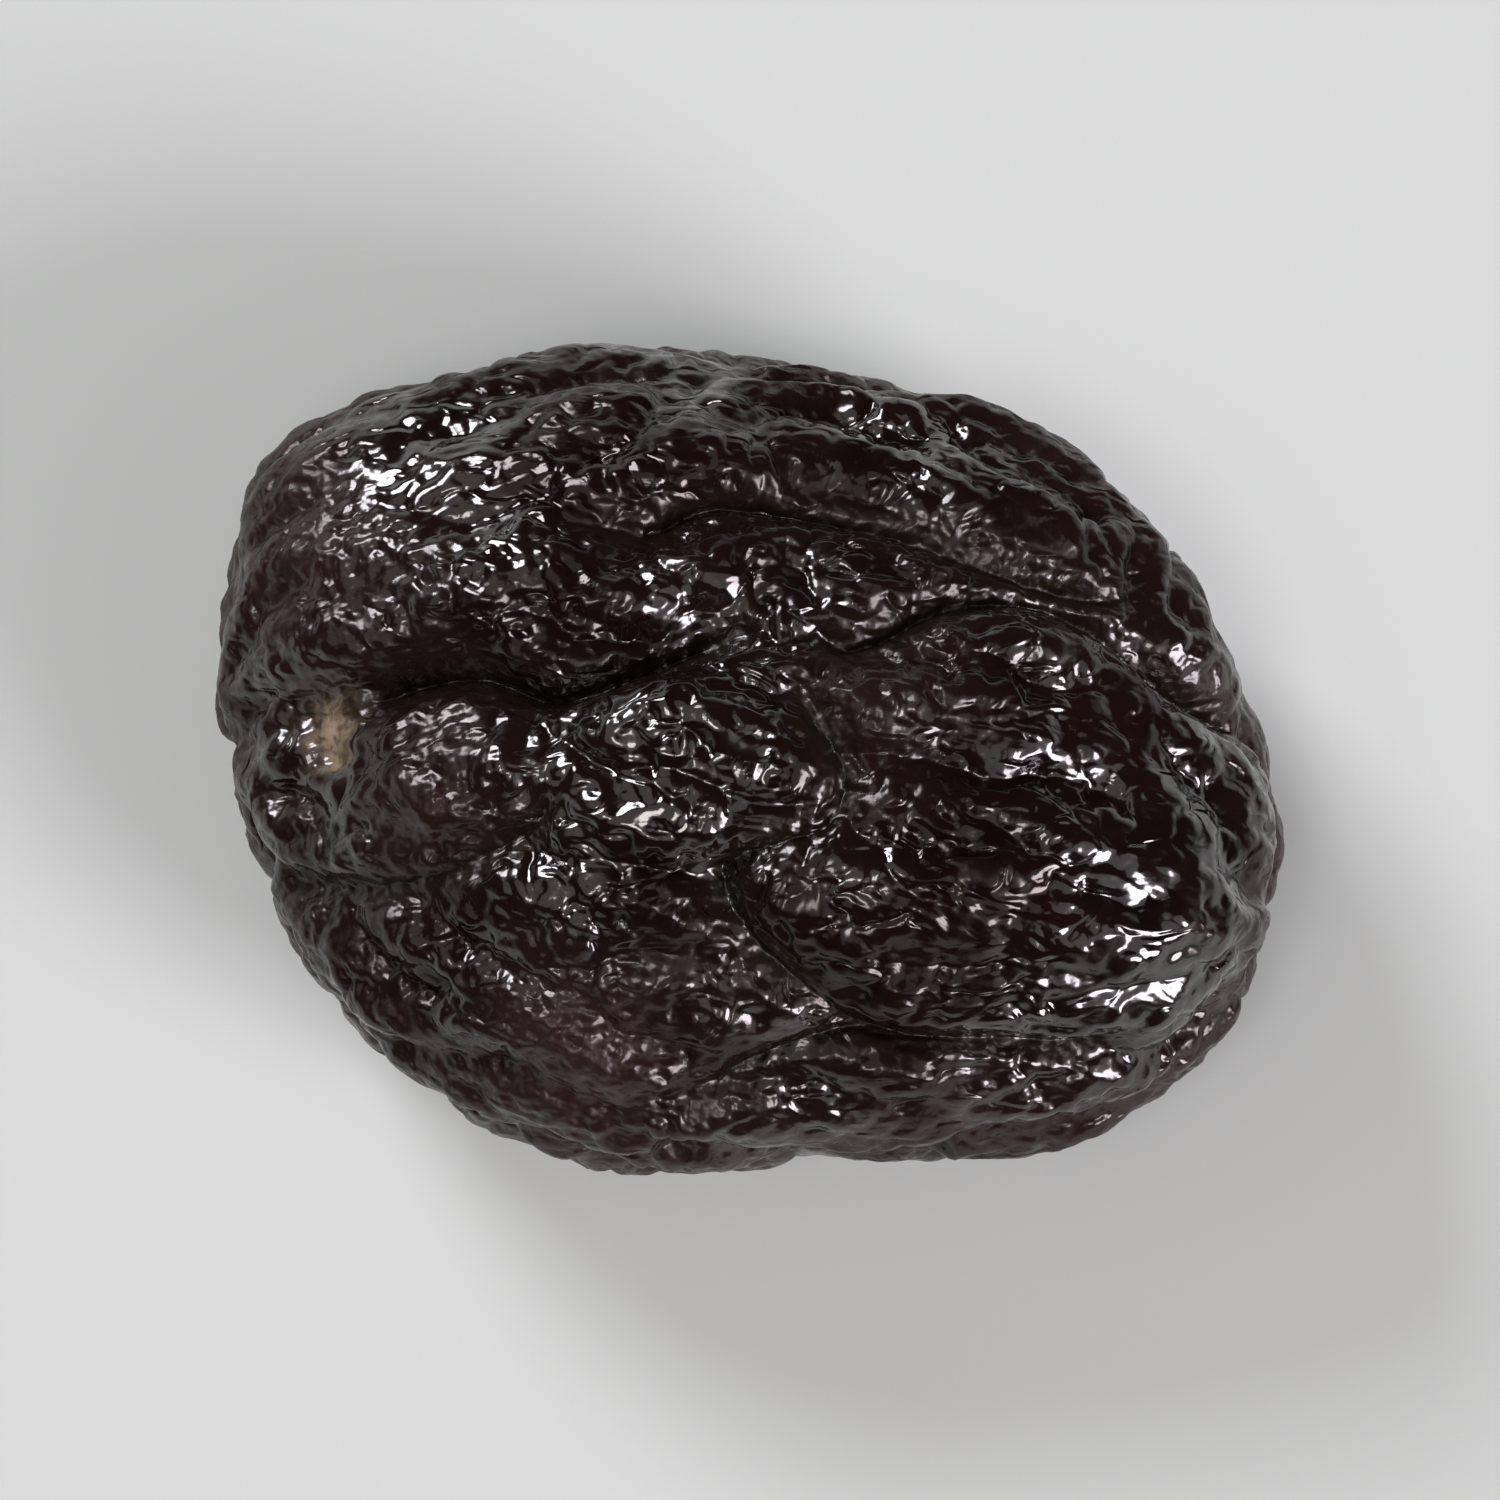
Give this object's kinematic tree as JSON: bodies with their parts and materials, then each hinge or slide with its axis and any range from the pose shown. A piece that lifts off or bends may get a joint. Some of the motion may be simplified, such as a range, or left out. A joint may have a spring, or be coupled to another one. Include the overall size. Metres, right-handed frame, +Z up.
{
  "type": "prune",
  "caption": "Moist dried plum without its stone: a plump, wrinkled, near-black fruit with a long crease along its top and a flat spot that it lies on.",
  "frame": {"origin": "middle of the fruit's box, at the level of the flat spot that it lies on", "axes": "+X along the length from the stem end to the blossom end, +Y across, +Z up through the shortest side"},
  "size_m": [0.04, 0.0314, 0.019],
  "materials": {
    "prune_skin": "moist, glossy and finely wrinkled"
  },
  "bodies": {
    "root": {"prune": "prune_skin"}
  },
  "joints": []
}
